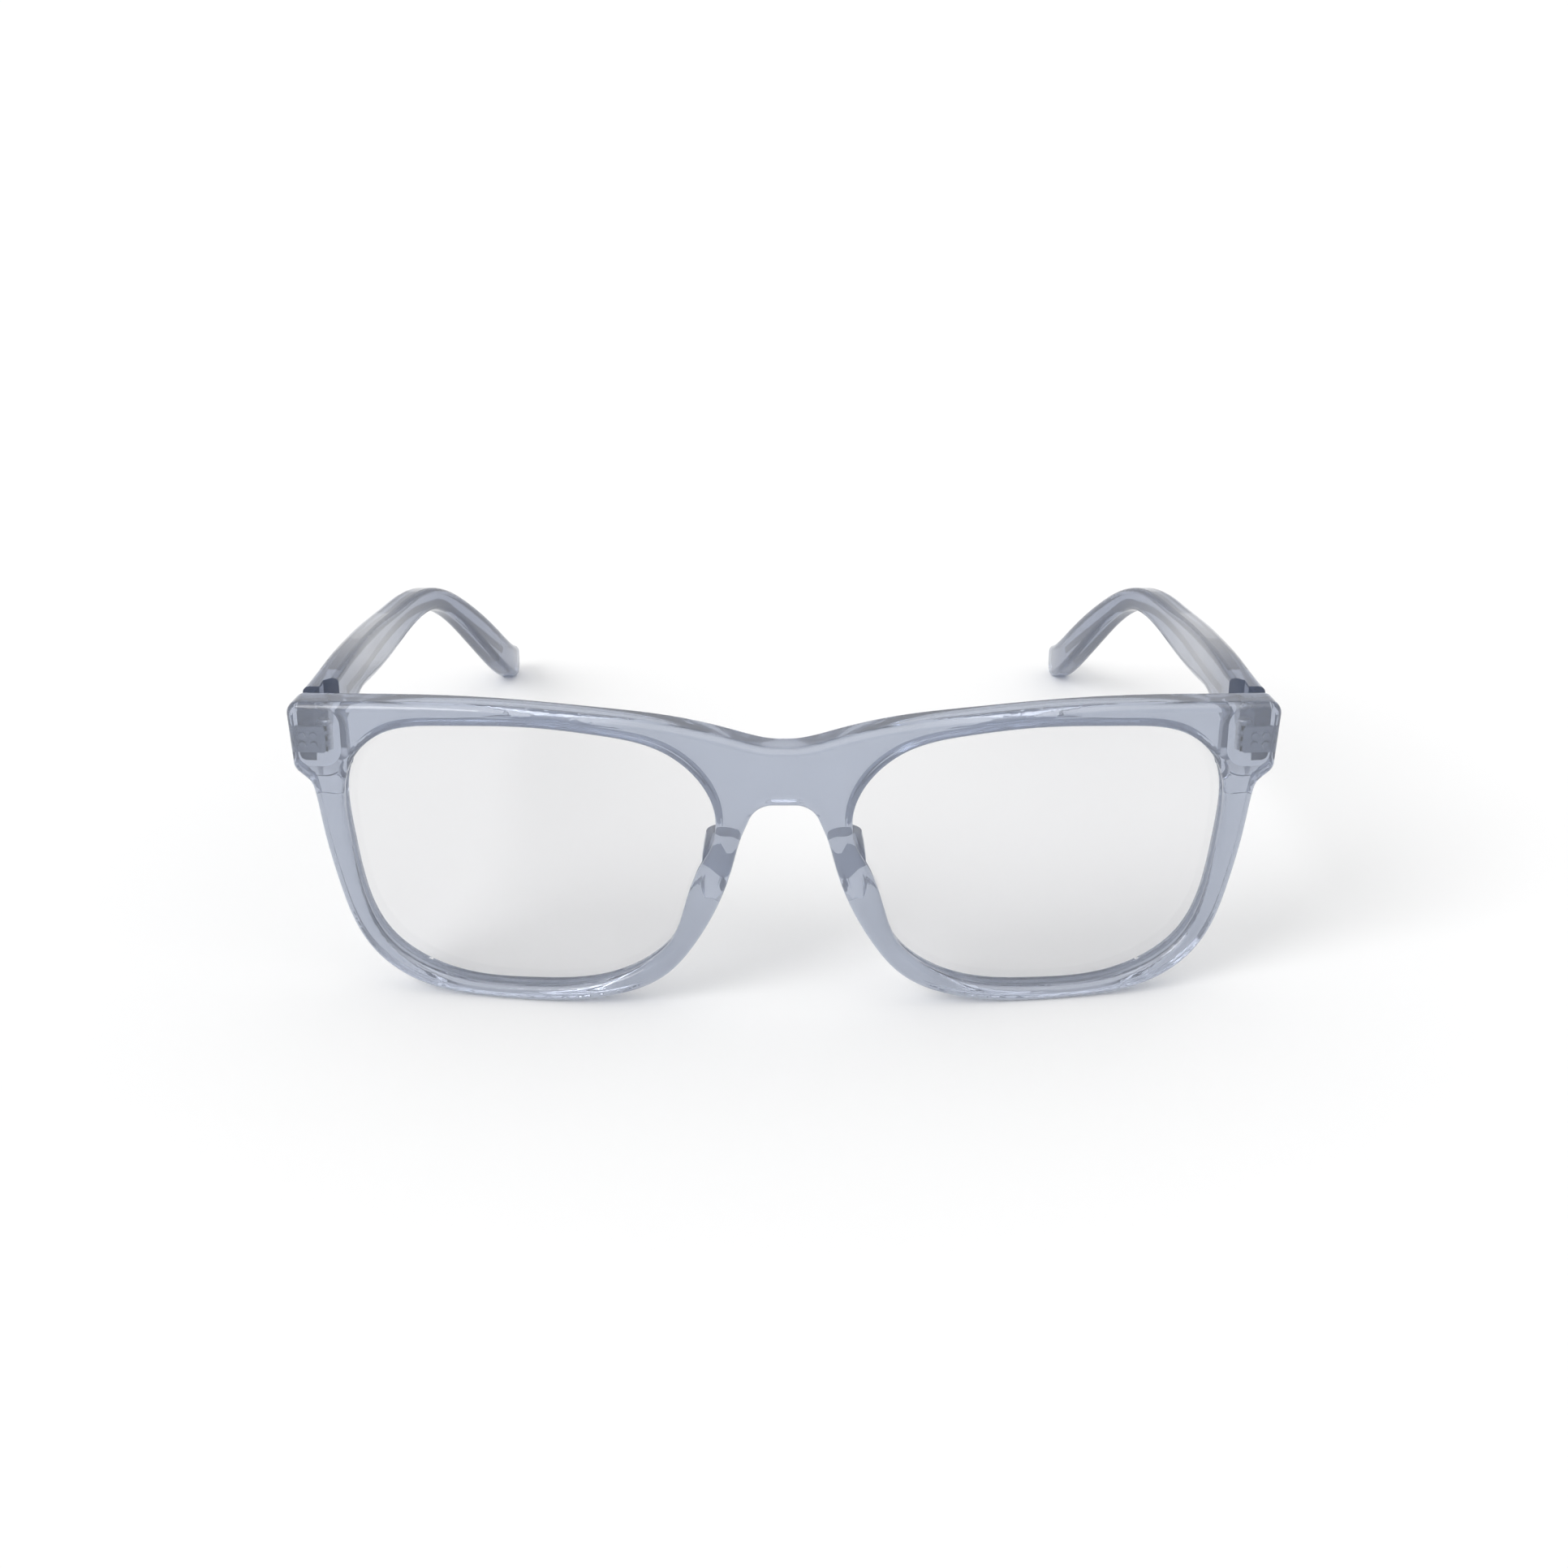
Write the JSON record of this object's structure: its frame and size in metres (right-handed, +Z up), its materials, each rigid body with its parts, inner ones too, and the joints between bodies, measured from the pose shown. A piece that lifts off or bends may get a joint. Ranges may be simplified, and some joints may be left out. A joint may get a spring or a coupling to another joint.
{
  "type": "eyeglasses",
  "caption": "Square-lens eyeglasses with a clear blue-grey acetate frame, plano filter lenses and folding temples.",
  "frame": {"origin": "on the table, under the middle of the open glasses' box", "axes": "+Z up, -Y the way the lenses face, +X the wearer's left"},
  "size_m": [0.1424, 0.1442, 0.0463],
  "materials": {
    "acetate": "polished, clear",
    "acetate_pad": "polished, clear",
    "lens": "polished, clear",
    "hinge_metal": "satin nickel silver",
    "screw_metal": "bright",
    "core_wire": "drawn wire"
  },
  "bodies": {
    "front_body": {"front_frame": "acetate", "left_lens": "lens", "left_nose_pad": "acetate_pad", "left_end_block": "acetate", "left_front_hinge_leaf": "hinge_metal", "left_hinge_screw": "screw_metal", "right_lens": "lens", "right_nose_pad": "acetate_pad", "right_end_block": "acetate", "right_front_hinge_leaf": "hinge_metal", "right_hinge_screw": "screw_metal"},
    "left_temple_body": {"left_temple": "acetate", "left_core_wire": "core_wire", "left_temple_hinge_leaf": "hinge_metal"},
    "right_temple_body": {"right_temple": "acetate", "right_core_wire": "core_wire", "right_temple_hinge_leaf": "hinge_metal"}
  },
  "joints": [
    {"name": "left_temple_fold", "type": "hinge", "parent": "front_body", "child": "left_temple_body", "pos_m": [0.066, -0.05537, 0.03792], "axis": [0, 0, 1], "range_deg": [0, 86]},
    {"name": "right_temple_fold", "type": "hinge", "parent": "front_body", "child": "right_temple_body", "pos_m": [-0.066, -0.05537, 0.03792], "axis": [0, 0, -1], "range_deg": [0, 81]}
  ]
}
